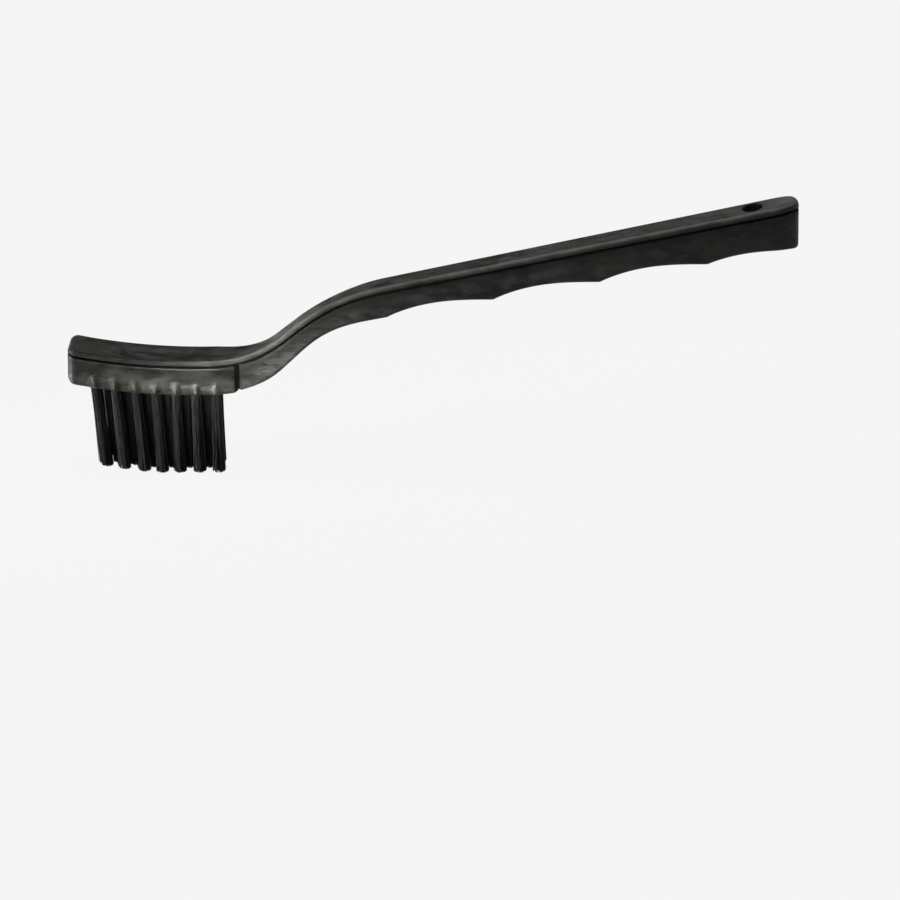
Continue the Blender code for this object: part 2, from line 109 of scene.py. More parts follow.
# Grip
GRIP_ANGLE = math.radians(12.2)
GRIP_START_DEPTH = 6.6 * MM
GRIP_START_WIDTH = 6.4 * MM
TAIL_DEPTH = 9.8 * MM
TAIL_WIDTH = 7.4 * MM
TAIL_RISE = 1.95 * MM
TAIL_ROUND_LENGTH = 6.3 * MM
TAIL_ROUND_DEPTH = 3.0 * MM
TAIL_CURVE_RADIUS = 14 * MM
TAIL_LAND = 1.2 * MM
GROOVE_COUNT = 4
GROOVE_DEPTH = 1.7 * MM
LAST_GROOVE_SHARE = 0.80
GROOVE_SKEW_SHARE = 0.82
HANG_HOLE_DIAMETER = 4.6 * MM
HANG_HOLE_FROM_TAIL = 10.8 * MM
HANG_HOLE_RIM = 0.25 * MM

# Edges of the handle's section
HEAD_EDGE_RADIUS = 0.38 * MM
GRIP_EDGE_RADIUS = 1.00 * MM
UNDER_EDGE_RADIUS = 1.00 * MM
END_EDGE_RADIUS = 1.00 * MM
ROOT_EDGE_RADIUS = 0.15 * MM
NOSE_SLOPE_LENGTH = 2.6 * MM
TAIL_SLOPE_LENGTH = 1.8 * MM
END_SLOPE_DEPTH = 1.05 * MM

# Sides: their draft, the parting groove along them, and how they swing out again near the head
SIDE_DRAFT = 0.30 * MM
LOWER_SIDE_INSET = 0.08 * MM
HEAD_SEAM_HALF_HEIGHT = 0.48 * MM
HEAD_SEAM_DEPTH = 0.55 * MM
GRIP_SEAM_HALF_HEIGHT = 0.56 * MM
GRIP_SEAM_DEPTH = 0.62 * MM
FLARE = 0.34 * MM
FLARE_START_SHARE = 0.45
FLARE_FULL_SHARE = 1.15

# Bristle block, and the tongue that holds it
BLOCK_DEPTH = 7.5 * MM
BLOCK_NOSE_RADIUS = 1.6 * MM
BLOCK_REAR_RADIUS = 0.25 * MM
BLOCK_EDGE_RADIUS = 0.6 * MM
BLOCK_DRAFT = 0.42 * MM
GLUE_LINE = 0.20 * MM
TONGUE_WIDTH = 3.8 * MM
TONGUE_DEPTH = 1.6 * MM
TONGUE_FROM_NOSE = 5.0 * MM
TONGUE_CLEARANCE = 0.15 * MM
BULGE_HEIGHT = 0.42 * MM
BULGE_HALF_WIDTH = 1.65 * MM
BULGE_START_SHARE = 0.45
BULGE_FULL_SHARE = 1.10

# Upright joint between the block and the neck. The steepness is that of the groove's wall
JOINT_GAP = 0.10 * MM
JOINT_GROOVE_REACH = 0.70 * MM
JOINT_GROOVE_DEPTH = 0.70 * MM
JOINT_GROOVE_STEEPNESS = 1.7

# Wear, painted shade and a painted highlight at the tail, and how far they reach. A steepness over 1 gives
# a full stretch before it fades
TAIL_RUB_AND_SHEEN = 0.9
TAIL_RUB_AND_SHEEN_LENGTH = 13 * MM
HEAD_STRIP_SHADE = 0.8
NOSE_SHADE = 0.75
NOSE_SHADE_REACH = 8 * MM
SIDE_SHADE = 0.6
SIDE_SHADE_SHARE = 0.5
SEAM_SHADE_STEEPNESS = 1.5
JOINT_SHADE_REACH = 1.00 * MM
JOINT_SHADE_STEEPNESS = 1.6

# Holes and anchors
HOLE_DIAMETER = 2.6 * MM
HOLE_DEPTH = 4.5 * MM
HOLE_RIM = 0.15 * MM
ANCHOR_THICKNESS = 0.30 * MM
ANCHOR_BITE = 0.15 * MM
ANCHOR_CLEARANCE = 0.07 * MM
ANCHOR_SKEW = math.radians(25)
ANCHOR_TOP = 3.8 * MM

# Tufts
BRISTLE_LENGTH = 21.0 * MM
OUTER_ROW_COUNT = 7
TUFTS_FROM_NOSE = 6.3 * MM
TUFTS_FROM_JOINT = 5.3 * MM
FIRST_TUFT_LEAN = math.radians(3.8)
LAST_TUFT_LEAN = math.radians(-0.9)
LEAN_SCATTER = 0.10 * MM
ROW_SWAY = 0.15 * MM
ROOT_RADIUS = 1.13 * MM
TIP_RADIUS = 1.70 * MM

# The trim is a shallow curve, and each tuft's edge stands a little short of it
TRIM_RADIUS = 110 * MM
TIP_FLAT = 0.5 * MM
TIP_DOME = 0.45 * MM
DOME_POWER = 5
DOME_LIMIT_SHARE = 1.2
TRIM_SCATTER = 0.12 * MM

# Filaments: each is folded over the anchor, spreads towards its tips and waves a little. The shares of
# a fold are of its reach to the side and of its height in the hole
FILAMENT_PAIRS = 65
FILAMENT_DIAMETER = 0.17 * MM
FILAMENT_SIDES = 5
FREE_STEPS = 8
SPREAD_POWER = 0.85
WAVE_HEIGHT = 0.06 * MM
WAVE_TURNS = 0.75
CLUMP_COUNT = 6
CLUMP_REACH_SHARE = 0.7
CLUMP_PULL_SHARE = 0.25
TIP_SCATTER = 0.07 * MM
STRAY_CHANCE = 0.03
STRAY_SHARES = (1.3, 1.25)
FOLD_LIFT_LEAST = 0.12 * MM
FOLD_LIFT_MOST = 0.50 * MM
FOLD_START_SHARE = 0.4
FOLD_SHOULDER_SHARE = 0.93
FOLD_CROWN_SHARES = (0.6, 0.99)

OVERRUN = 1.0 * MM
STATION_GAP = 0.02 * MM
MERGE_DISTANCE = 0.002 * MM
SHARP_ANGLE = math.radians(35)
STRAND_SHARP_ANGLE = math.radians(60)

# Steps round the half sections, in their order
TOP_STEPS = 5
ARC_STEPS = 7
STRIP_STEPS = 2
SEAM_STEPS = 5
SIDE_STEPS = 8
FLOOR_STEPS = 5
GROOVE_STEPS = 2
FACE_STEPS = 3

# Steps from section to section
CORNER_STEPS = 8
EDGE_STEPS = 6
NOSE_STEPS = 14
PLATE_NOSE_STEPS = 5
BLOCK_NOSE_STEPS = 6
HEAD_STEPS = 60
BLOCK_STEPS = 140
TAIL_STEPS = 16
STATION_PITCH = 0.5 * MM
HANG_HOLE_SIDES = 64
HOLE_STEPS = 16

# Plastic: noise scales per metre, the stretch along each axis, the range in which a pattern fades in,
# how much of it shows, and the heights of its bumps
MOTTLE_SCALE = 420
MOTTLE_STRETCH = (0.45, 1.0, 1.0)
MOTTLE_RANGE = (0.38, 0.62)
PATCH_SCALE = 170
PATCH_RANGE = (0.47, 0.62)
PATCH_SHARE = 0.85
PLASTIC_WAVINESS = 0.22 * MM
PLASTIC_GRAIN_SCALE = 3200
PLASTIC_GRAIN = 0.012 * MM
PLASTIC_GRAIN_SHARE = 0.25
NOISE_RANGE = (0.3, 0.7)
SMOOTHER = 0.06
ROUGHER = 0.08
# Painted shade: the colour and share that darken the seam, the side below it, the joint, the nose and the
# head's edge
PAINTED_SHADE_COLOUR = (0.002, 0.002, 0.002)
PAINTED_SHADE_SHARE = 0.95
DULL_RANGE = (-1, -0.4)

# Filaments and anchor wire, in the same terms
STRAND_DARK = (0.003, 0.003, 0.003)
STRAND_LIGHT = (0.016, 0.016, 0.016)
STRAND_ROUGHNESS_RANGE = (0.32, 0.44)
STREAK_COLOUR = (0.036, 0.036, 0.036)
STREAK_SCALE = 2500
STREAK_STRETCH = (1.0, 1.0, 0.08)
STREAK_RANGE = (0.4, 0.7)
STREAK_SHARE = 0.5
WIRE_DARK = (0.50, 0.40, 0.24)
WIRE_LIGHT = (0.70, 0.60, 0.40)
WIRE_ROUGHNESS_RANGE = (0.22, 0.38)
WIRE_LINE_SCALE = 1800
WIRE_STRETCH = (1.0, 1.0, 14.0)
FINE_RELIEF = 0.01 * MM
FINE_RELIEF_SHARE = 0.3

# Studio
FLOOR_RADIUS = 4.0
FLOOR_SIDES = 128
FLOOR_DROP = 0.05 * MM
FLOOR_GREY = 0.12
FLOOR_GLOW_SHARE = 0.9
WORLD_GREY = 0.13


def smooth(share):
    """0 to 1 with a level start and a level end."""
    share = min(max(share, 0.0), 1.0)
    return share * share * (3 - 2 * share)


def between(low, high, share):
    """The value at a share of the way from low to high."""
    return low + (high - low) * share


def spread(start, end, steps):
    """Evenly spaced values from start to end, both included."""
    return [between(start, end, i / steps) for i in range(steps + 1)]


def row_point(x, y, z):
    """A point of the construction, x from the nose, in the frame."""
    return Vector((x - LENGTH / 2, y, z))


# Where each stretch of the parting line begins and ends, along x and in height
RISE_X = HEAD_LENGTH - BEND_BEFORE_JOINT
RISE_START_ANGLE = math.asin((RISE_X - HEAD_LOW_POINT) / HEAD_CURVE_RADIUS)
RISE_END_X = RISE_X + NECK_RISE_RADIUS * (math.sin(NECK_RISE_ANGLE) - math.sin(RISE_START_ANGLE))
CREST_START_X = RISE_END_X + NECK_STRAIGHT * math.cos(NECK_RISE_ANGLE)
GRIP_X = CREST_START_X + NECK_CREST_RADIUS * (math.sin(NECK_RISE_ANGLE) - math.sin(GRIP_ANGLE))
TAIL_CURVE_X = LENGTH - TAIL_CURVE_RADIUS * math.sin(GRIP_ANGLE)

LOW_Z = BRISTLE_LENGTH + BLOCK_DEPTH
RISE_Z = LOW_Z + HEAD_CURVE_RADIUS * (1 - math.cos(RISE_START_ANGLE))
RISE_END_Z = RISE_Z + NECK_RISE_RADIUS * (math.cos(RISE_START_ANGLE) - math.cos(NECK_RISE_ANGLE))
CREST_START_Z = RISE_END_Z + NECK_STRAIGHT * math.sin(NECK_RISE_ANGLE)
GRIP_Z = CREST_START_Z + NECK_CREST_RADIUS * (math.cos(GRIP_ANGLE) - math.cos(NECK_RISE_ANGLE))
TAIL_CURVE_Z = GRIP_Z + (TAIL_CURVE_X - GRIP_X) * math.tan(GRIP_ANGLE)

JOINT_X = HEAD_LENGTH
BLOCK_END_X = JOINT_X - JOINT_GAP
NECK_ROOT_X = JOINT_X + NECK_ROOT_LENGTH
WAIST_X = between(NECK_ROOT_X, GRIP_X, WAIST_SHARE)
GROOVES_END_X = LENGTH - TAIL_LAND
GROOVE_PITCH = (GROOVES_END_X - GRIP_X) / (GROOVE_COUNT - 1 + LAST_GROOVE_SHARE)
TUFT_ROW_LENGTH = HEAD_LENGTH - TUFTS_FROM_NOSE - TUFTS_FROM_JOINT
TUFT_PITCH = TUFT_ROW_LENGTH / (OUTER_ROW_COUNT - 1)


def parting_slope(x):
    """Angle of the parting line at x."""
    if x <= RISE_X:
        return math.asin((x - HEAD_LOW_POINT) / HEAD_CURVE_RADIUS)
    if x <= RISE_END_X:
        return math.asin(math.sin(RISE_START_ANGLE) + (x - RISE_X) / NECK_RISE_RADIUS)
    if x <= CREST_START_X:
        return NECK_RISE_ANGLE
    if x <= GRIP_X:
        return math.asin(math.sin(NECK_RISE_ANGLE) - (x - CREST_START_X) / NECK_CREST_RADIUS)
    if x <= TAIL_CURVE_X:
        return GRIP_ANGLE
    return math.asin((LENGTH - x) / TAIL_CURVE_RADIUS)


def parting_height(x):
    """Height of the parting line at x: tangent arcs and straights, one after the other."""
    angle = parting_slope(x)
    if x <= RISE_X:
        return LOW_Z + HEAD_CURVE_RADIUS * (1 - math.cos(angle))
    if x <= RISE_END_X:
        return RISE_Z + NECK_RISE_RADIUS * (math.cos(RISE_START_ANGLE) - math.cos(angle))
    if x <= CREST_START_X:
        return RISE_END_Z + (x - RISE_END_X) * math.tan(NECK_RISE_ANGLE)
    if x <= GRIP_X:
        return CREST_START_Z + NECK_CREST_RADIUS * (math.cos(angle) - math.cos(NECK_RISE_ANGLE))
    if x <= TAIL_CURVE_X:
        return GRIP_Z + (x - GRIP_X) * math.tan(GRIP_ANGLE)
    return TAIL_CURVE_Z + TAIL_CURVE_RADIUS * (math.cos(angle) - math.cos(GRIP_ANGLE))


def groove(x):
    """Depth of the finger groove at x: each rises steeply behind its crest and runs out flat."""
    if not GRIP_X < x < GROOVES_END_X:
        return 0.0
    number = min(int((x - GRIP_X) / GROOVE_PITCH), GROOVE_COUNT - 1)
    start = GRIP_X + number * GROOVE_PITCH
    width = min(start + GROOVE_PITCH, GROOVES_END_X) - start
    share = max(x - start, 0.0) / width
    return GROOVE_DEPTH * (width / GROOVE_PITCH) ** 2 * math.sin(math.pi * share**GROOVE_SKEW_SHARE)


def under_depth(x):
    """How far the underside lies below the parting line."""
    if x <= WAIST_X:
        share = smooth((x - NECK_ROOT_X) / (WAIST_X - NECK_ROOT_X))
        return between(NECK_ROOT_DEPTH, NECK_WAIST_DEPTH, share)
    if x <= GRIP_X:
        share = smooth((x - WAIST_X) / (GRIP_X - WAIST_X))
        return between(NECK_WAIST_DEPTH, GRIP_START_DEPTH, share)
    share = (x - GRIP_X) / (LENGTH - GRIP_X)
    return between(GRIP_START_DEPTH, TAIL_DEPTH, share) - groove(x)


def top_rise(x):
    """How far the top face lies above the parting line, square to it."""
    return between(PLATE_RISE, TAIL_RISE, max(x - GRIP_X, 0) / (LENGTH - GRIP_X))


def corner_inset(distance, length, depth=None):
    """How far a round or oval corner draws a side in, at a distance from the end face."""
    if distance >= length:
        return 0.0
    return (depth or length) * (1 - math.sqrt(1 - (1 - distance / length) ** 2))


def half_width(x):
    """Half the width of the handle at the parting line."""
    shoulder = JOINT_X - SHOULDER_BEFORE_JOINT
    share = smooth((x - shoulder) / (SHOULDER_BEFORE_JOINT + SHOULDER_AFTER_JOINT))
    width = between(between(NOSE_WIDTH, HEAD_REAR_WIDTH, x / JOINT_X), NECK_WIDTH, share)
    if x > GRIP_X:
        width = between(GRIP_START_WIDTH, TAIL_WIDTH, (x - GRIP_X) / (LENGTH - GRIP_X))
    elif x > WAIST_X:
        width = between(NECK_WIDTH, GRIP_START_WIDTH, smooth((x - WAIST_X) / (GRIP_X - WAIST_X)))
    nose = corner_inset(x, NOSE_PLAN_RADIUS)
    tail = corner_inset(LENGTH - x, TAIL_ROUND_LENGTH, TAIL_ROUND_DEPTH)
    return width / 2 - nose - tail


def line(start, end, steps, wear_and_painted_light=0.0):
    """Points of a straight run of a section after its start, which the run before has made."""
    return [(between(start[0], end[0], i / steps), between(start[1], end[1], i / steps), wear_and_painted_light)
            for i in range(1, steps + 1)]


def outer_arc(centre, radius, start, end, steps):
    """A rounded edge of a section after its start, worn most in its middle."""
    points = []
    for i in range(1, steps + 1):
        turn = math.radians(between(start, end, i / steps))
        place = (centre[0] + radius * math.cos(turn), centre[1] + radius * math.sin(turn))
        points.append((*place, math.sin(math.pi * i / steps)))
    return points


def seam_size(x):
    """Half height and depth of the parting groove at x, from its size on the head to that on the grip."""
    share = smooth((x - JOINT_X) / (RISE_END_X - JOINT_X))
    half_height = between(HEAD_SEAM_HALF_HEIGHT, GRIP_SEAM_HALF_HEIGHT, share)
    return half_height, between(HEAD_SEAM_DEPTH, GRIP_SEAM_DEPTH, share)


def seam_share(z, half_height):
    """How much of the parting groove's depth is reached at a height from the parting line."""
    share = min(abs(z) / half_height, 1.0)
    return 0.5 + 0.5 * math.cos(math.pi * share)


def flare(share):
    """How far a side swings out again below its middle, at a share of its height."""
    return FLARE * smooth((share - FLARE_START_SHARE) / (FLARE_FULL_SHARE - FLARE_START_SHARE))


def joint_groove(distance):
    """Depth of the groove at the sides where block and neck meet, at a distance from the joint."""
    return JOINT_GROOVE_DEPTH * smooth(JOINT_GROOVE_STEEPNESS * (1 - distance / JOINT_GROOVE_REACH))


def joint_shade(x):
    """Negative value that paints shade beside the upright joint of the block and the neck."""
    distance = abs(x - JOINT_X + JOINT_GAP / 2) - JOINT_GAP / 2
    return -smooth(JOINT_SHADE_STEEPNESS * (1 - distance / JOINT_SHADE_REACH))


def side_shade(share):
    """Painted shade on the side below the seam, fading out towards the middle of its height."""
    return -SIDE_SHADE * (1 - smooth(share / SIDE_SHADE_SHARE))


def top_profile(x):
    """Right half of the section above the parting line, from the middle of the top face to the seam."""
    width = half_width(x)
    share = smooth((x - JOINT_X) / (RISE_END_X - JOINT_X))
    radius = between(HEAD_EDGE_RADIUS, GRIP_EDGE_RADIUS, share)
    ends = corner_inset(x, NOSE_SLOPE_LENGTH, END_SLOPE_DEPTH)
    ends += corner_inset(LENGTH - x, TAIL_SLOPE_LENGTH, END_SLOPE_DEPTH)
    top = top_rise(x) / math.cos(parting_slope(x)) - ends
    seam = seam_size(x)[0]
    radius = min(radius, top - seam, width / 2)
    # Hands have rubbed the edge from the middle of the head on. Nearer the nose the edge and the strip
    # below it are painted dark instead, a painted shade. The whole top at the tail is painted pale, as
    # rubbed plastic and as a painted highlight.
    rubbed = smooth(2 * x / HEAD_LENGTH - 1)
    tail = TAIL_RUB_AND_SHEEN * smooth(1 - (LENGTH - x) / TAIL_RUB_AND_SHEEN_LENGTH)
    points = [(0.0, top, tail)]
    points += line((0, top), (width - radius, top), TOP_STEPS, tail)
    for y, z, wear_and_painted_light in outer_arc((width - radius, top - radius), radius, 90, 0, ARC_STEPS):
        wear_and_painted_light = between(-HEAD_STRIP_SHADE, wear_and_painted_light, rubbed)
        points.append((y, z, max(wear_and_painted_light, tail * z / top) if tail else wear_and_painted_light))
    points += line((width, top - radius), (width, seam), STRIP_STEPS, -HEAD_STRIP_SHADE * (1 - rubbed))
    return points


def seam_profile(x, upper, lower, start, end):
    """The soft parting groove between two heights, from the upper side to the lower one."""
    half_height, depth = seam_size(x)
    points = []
    for z in spread(start, end, SEAM_STEPS)[1:]:
        side = between(upper, lower, 0.5 - 0.5 * z / half_height)
        share = seam_share(z, half_height)
        # The groove is painted dark, a painted shade, and below the parting line it is at least as dark as
        # the side under it
        shade = min(SEAM_SHADE_STEEPNESS * share, 1.0)
        points.append((side - depth * share, z, -shade if z >= 0 else -max(shade, SIDE_SHADE)))
    return points


def under_profile(x):
    """Right half of the section below the parting line, where the handle has its full depth."""
    root = corner_inset(x - JOINT_X, ROOT_EDGE_RADIUS)
    width = half_width(x)
    lower = width - LOWER_SIDE_INSET - joint_groove(x - JOINT_X)
    depth = under_depth(x) - root - corner_inset(LENGTH - x, END_EDGE_RADIUS)
    radius = min(UNDER_EDGE_RADIUS, (lower - SIDE_DRAFT) / 2)
    seam = seam_size(x)[0]
    tall = depth - radius - seam
    flared = 1 - smooth((x - JOINT_X) / (GRIP_X - JOINT_X))
    points = seam_profile(x, width, lower, seam, 0)
    points += seam_profile(x, width, lower, 0, -seam)
    # The side's upper part gets painted shade from side_shade
    for share in spread(0, 1, SIDE_STEPS)[1:]:
        side = lower - SIDE_DRAFT * share + flared * flare(share)
        points.append((side, -seam - tall * share, side_shade(share)))
    points += outer_arc((side - radius, radius - depth), radius, 0, -90, ARC_STEPS)
    points += line((side - radius, -depth), (0, -depth), FLOOR_STEPS)
    return points


def plate_profile(x, tongue_depth):
    """Right half of the head plate's section below its side: half the seam, glued face and tongue."""
    width = half_width(x)
    face = GLUE_LINE / 2
    tongue = TONGUE_WIDTH / 2
    points = seam_profile(x, width, width, seam_size(x)[0], face)
    inner = points[-1][0]
    points += line((inner, face), (tongue, face), SEAM_STEPS + SIDE_STEPS)
    points += line((tongue, face), (tongue, -tongue_depth), ARC_STEPS)
    points += line((tongue, -tongue_depth), (0, -tongue_depth), FLOOR_STEPS)
    return points


def leaned(x, z):
    """Where a section's point at height z lies along x, next to the leaning end faces."""
    nose_share = max(1 - x / END_LEAN_REACH, 0)
    tail_share = max(1 - (LENGTH - x) / END_LEAN_REACH, 0)
    above_nose_corner = z + BLOCK_DEPTH - BLOCK_NOSE_RADIUS
    above_tail_corner = z + TAIL_DEPTH
    return x + math.tan(END_LEAN) * (above_nose_corner * nose_share - above_tail_corner * tail_share)


def whole_ring(x, half):
    """A closed section at x from its right half, with wear_and_painted_light. The middle points aren't
    repeated.
    """
    base = parting_height(x)
    # Painted shade below the parting line, beside the joint and at the nose
    shade = min(joint_shade(x), -NOSE_SHADE * smooth(1 - x / NOSE_SHADE_REACH))
    half = [(y, z, min(wear_and_painted_light, shade) if z < 0 else wear_and_painted_light) for y, z, wear_and_painted_light in half]
    right = [(row_point(leaned(x, z), y, base + z), wear_and_painted_light) for y, z, wear_and_painted_light in half]
    left = [(row_point(leaned(x, z), -y, base + z), wear_and_painted_light) for y, z, wear_and_painted_light in reversed(half[1:-1])]
    return right + left


def end_stations(face, radius, direction, steps=CORNER_STEPS):
    """Stations round the corner next to an end face, closer together at the face."""
    turns = spread(0, math.pi / 2, steps)
    return [face + direction * radius * (1 - math.cos(turn)) for turn in turns]


def in_order(stations):
    """Sorted stations without those that fall nearly on an earlier one."""
    kept = []
    for x in sorted(stations):
        if not kept or x - kept[-1] > STATION_GAP:
            kept.append(x)
    return kept


def handle_rings():
    """All sections of the handle. Where the tongue and the neck root start, two share a station."""
    nose = end_stations(0, NOSE_SLOPE_LENGTH, 1, NOSE_STEPS)
    nose = in_order(nose + spread(NOSE_SLOPE_LENGTH, TONGUE_FROM_NOSE, PLATE_NOSE_STEPS))
    head = spread(TONGUE_FROM_NOSE, JOINT_X, HEAD_STEPS)
    root = end_stations(JOINT_X, ROOT_EDGE_RADIUS, 1, EDGE_STEPS)
    root += end_stations(JOINT_X, JOINT_GROOVE_REACH, 1, EDGE_STEPS)
    tail_x = LENGTH - TAIL_ROUND_LENGTH
    along = spread(JOINT_X + JOINT_GROOVE_REACH, tail_x, round((tail_x - JOINT_X) / STATION_PITCH))
    tail = end_stations(LENGTH, TAIL_ROUND_LENGTH, -1, TAIL_STEPS)
    tail += end_stations(LENGTH, END_EDGE_RADIUS, -1, EDGE_STEPS)
    # Before the tongue, the plate's underside is its glued face, at half the glue line
    rings = [whole_ring(x, top_profile(x) + plate_profile(x, -GLUE_LINE / 2)) for x in nose]
    rings += [whole_ring(x, top_profile(x) + plate_profile(x, TONGUE_DEPTH)) for x in head]
    rings += [whole_ring(x, top_profile(x) + under_profile(x)) for x in in_order(root + along + tail)]
    return rings


def bulge(x):
    """How much the thin wall beside each outer tuft stands out at x, from 0 to 1."""
    nearest = round((x - TUFTS_FROM_NOSE) / TUFT_PITCH)
    if not 0 <= nearest < OUTER_ROW_COUNT:
        return 0.0
    distance = abs(x - TUFTS_FROM_NOSE - nearest * TUFT_PITCH)
    return smooth(1 - distance / BULGE_HALF_WIDTH)


def block_ring(x, groove_depth):
    """Section of the bristle block, with the tongue's groove on top and bulges low on its sides."""
    inset = corner_inset(x, NOSE_PLAN_RADIUS) + joint_groove(BLOCK_END_X - x)
    width = half_width(max(x, NOSE_PLAN_RADIUS)) - inset - LOWER_SIDE_INSET
    nose, rear = corner_inset(x, BLOCK_NOSE_RADIUS), corner_inset(BLOCK_END_X - x, BLOCK_REAR_RADIUS)
    depth = BLOCK_DEPTH - nose - rear
    face = GLUE_LINE / 2
    breadth = TONGUE_WIDTH / 2 + TONGUE_CLEARANCE
    radius = BLOCK_EDGE_RADIUS
    seam, seam_depth = seam_size(x)
    half = [(0.0, -groove_depth, 0.0)]
    half += line((0, -groove_depth), (breadth, -groove_depth), GROOVE_STEPS)
    half += line((breadth, -groove_depth), (breadth, -face), GROOVE_STEPS)
    half += line((breadth, -face), (width - seam_depth * seam_share(face, seam), -face), FACE_STEPS)
    half += seam_profile(x, width, width, -face, -seam)
    tall = depth - radius - seam
    # The side's upper part gets painted shade from side_shade
    for share in spread(0, 1, 2 * SIDE_STEPS)[1:]:
        grown = smooth((share - BULGE_START_SHARE) / (BULGE_FULL_SHARE - BULGE_START_SHARE))
        side = width - BLOCK_DRAFT * share + flare(share) + BULGE_HEIGHT * bulge(x) * grown
        half.append((side, -seam - tall * share, side_shade(share)))
    half += outer_arc((side - radius, radius - depth), radius, 0, -90, ARC_STEPS)
    half += line((side - radius, -depth), (0, -depth), FLOOR_STEPS)
    return whole_ring(x, half)


def block_rings():
    """All sections of the block. Where the tongue's groove starts, two share a station."""
    groove_start = TONGUE_FROM_NOSE - TONGUE_CLEARANCE
    nose = end_stations(0, NOSE_PLAN_RADIUS, 1) + end_stations(0, BLOCK_NOSE_RADIUS, 1)
    nose = in_order(nose + spread(BLOCK_NOSE_RADIUS, groove_start, BLOCK_NOSE_STEPS))
    along = spread(groove_start, BLOCK_END_X - JOINT_GROOVE_REACH, BLOCK_STEPS)
    along += end_stations(BLOCK_END_X, JOINT_GROOVE_REACH, -1)
    along += end_stations(BLOCK_END_X, BLOCK_REAR_RADIUS, -1)
    rings = [block_ring(x, GLUE_LINE / 2) for x in nose]
    rings += [block_ring(x, TONGUE_DEPTH + TONGUE_CLEARANCE) for x in in_order(along)]
    return rings


def new_piece(name, mesh_tool, looks, sharp=SHARP_ANGLE):
    """A new object from a closed bmesh, smooth where its faces nearly line up."""
    bmesh.ops.recalc_face_normals(mesh_tool, faces=mesh_tool.faces)
    data = bpy.data.meshes.new(name)
    mesh_tool.to_mesh(data)
    mesh_tool.free()
    data.shade_smooth()
    data.set_sharp_from_angle(angle=sharp)
    piece = bpy.data.objects.new(name, data)
    bpy.context.scene.collection.objects.link(piece)
    if looks is not None:
        data.materials.append(looks)
    return piece


def add_loft(mesh_tool, rings, wear_and_painted_light_layer=None):
    """Skins a row of equal rings and closes both ends. With a layer, each corner is (place,
    wear_and_painted_light).
    """
    rows = []
    for points in rings:
        row = []
        for point in points:
            place, wear_and_painted_light = point if wear_and_painted_light_layer else (point, 0)
            corner = mesh_tool.verts.new(place)
            if wear_and_painted_light_layer:
                corner[wear_and_painted_light_layer] = wear_and_painted_light
            row.append(corner)
        rows.append(row)
    for row, following in zip(rows, rows[1:]):
        for i, corner in enumerate(row):
            j = (i + 1) % len(row)
            mesh_tool.faces.new((corner, following[i], following[j], row[j]))
    mesh_tool.faces.new(rows[0])
    mesh_tool.faces.new(rows[-1][::-1])


def loft_piece(name, rings, looks):
    """A piece skinned from rings with wear_and_painted_light. Points that two rings share are merged."""
    mesh_tool = bmesh.new()
    wear_and_painted_light_layer = mesh_tool.verts.layers.float.new("wear_and_painted_light")
    add_loft(mesh_tool, rings, wear_and_painted_light_layer)
    bmesh.ops.remove_doubles(mesh_tool, verts=mesh_tool.verts, dist=MERGE_DISTANCE)
    bmesh.ops.dissolve_degenerate(mesh_tool, edges=mesh_tool.edges, dist=MERGE_DISTANCE)
    return new_piece(name, mesh_tool, looks)


def cut(piece, cutter):
    """Takes the cutter's solid out of the piece, and removes the cutter."""
    change = piece.modifiers.new("cut", "BOOLEAN")
    change.operation = "DIFFERENCE"
    change.object = cutter
    view = bpy.context.evaluated_depsgraph_get()
    data = bpy.data.meshes.new_from_object(piece.evaluated_get(view))
    piece.modifiers.remove(change)
    bpy.data.objects.remove(cutter)
    piece.data = data
    data.set_sharp_from_angle(angle=SHARP_ANGLE)
    soft = piece.modifiers.new("even_shading", "WEIGHTED_NORMAL")
    soft.keep_sharp = True


def hang_hole():
    """A pin square to the grip's top face, flared where it leaves the top and the underside."""
    x = LENGTH - HANG_HOLE_FROM_TAIL
    radius = HANG_HOLE_DIAMETER / 2
    top = top_rise(x)
    bottom = -under_depth(x)
    rim = HANG_HOLE_RIM
    out = OVERRUN / 2
    levels = [(bottom - out, radius + rim + out), (bottom + rim, radius)]
    levels += [(top - rim, radius), (top - rim / 3, radius + rim / 3), (top + out, radius + rim + out)]
    centre = row_point(x, 0, parting_height(x))
    along = Vector((-math.sin(GRIP_ANGLE), 0, math.cos(GRIP_ANGLE)))
    across = Vector((math.cos(GRIP_ANGLE), 0, math.sin(GRIP_ANGLE)))
    turns = [2 * math.pi * i / HANG_HOLE_SIDES for i in range(HANG_HOLE_SIDES)]
    rings = []
    for level, reach in levels:
        rings.append([centre + along * level + across * reach * math.cos(turn)
                      + Vector((0, reach * math.sin(turn), 0)) for turn in turns])
    mesh_tool = bmesh.new()
    add_loft(mesh_tool, rings)
    return new_piece("hang_hole", mesh_tool, None)


def turned(x, y, angle):
    """A point turned about the origin."""
    return x * math.cos(angle) - y * math.sin(angle), x * math.sin(angle) + y * math.cos(angle)


def hole_outline(rim):
    """A round hole with two ears, where the ends of the anchor cut into its wall."""
    radius = HOLE_DIAMETER / 2 + rim
    ear = ANCHOR_THICKNESS / 2 + ANCHOR_CLEARANCE
    reach = radius + ANCHOR_BITE + ANCHOR_CLEARANCE
    first = math.asin(ear / radius)
    turns = spread(first, math.pi - first, HOLE_STEPS)
    half = [(reach, ear)]
    half += [(radius * math.cos(turn), radius * math.sin(turn)) for turn in turns]
    half += [(-reach, ear)]
    return [turned(x, y, ANCHOR_SKEW) for x, y in half + [(-x, -y) for x, y in half]]


def tuft_names():
    """Row and number of each tuft. The middle row stands in the gaps of the outer ones."""
    rows = (("front", OUTER_ROW_COUNT), ("middle", OUTER_ROW_COUNT - 1), ("back", OUTER_ROW_COUNT))
    return [f"{row}_{i + 1}" for row, count in rows for i in range(count)]


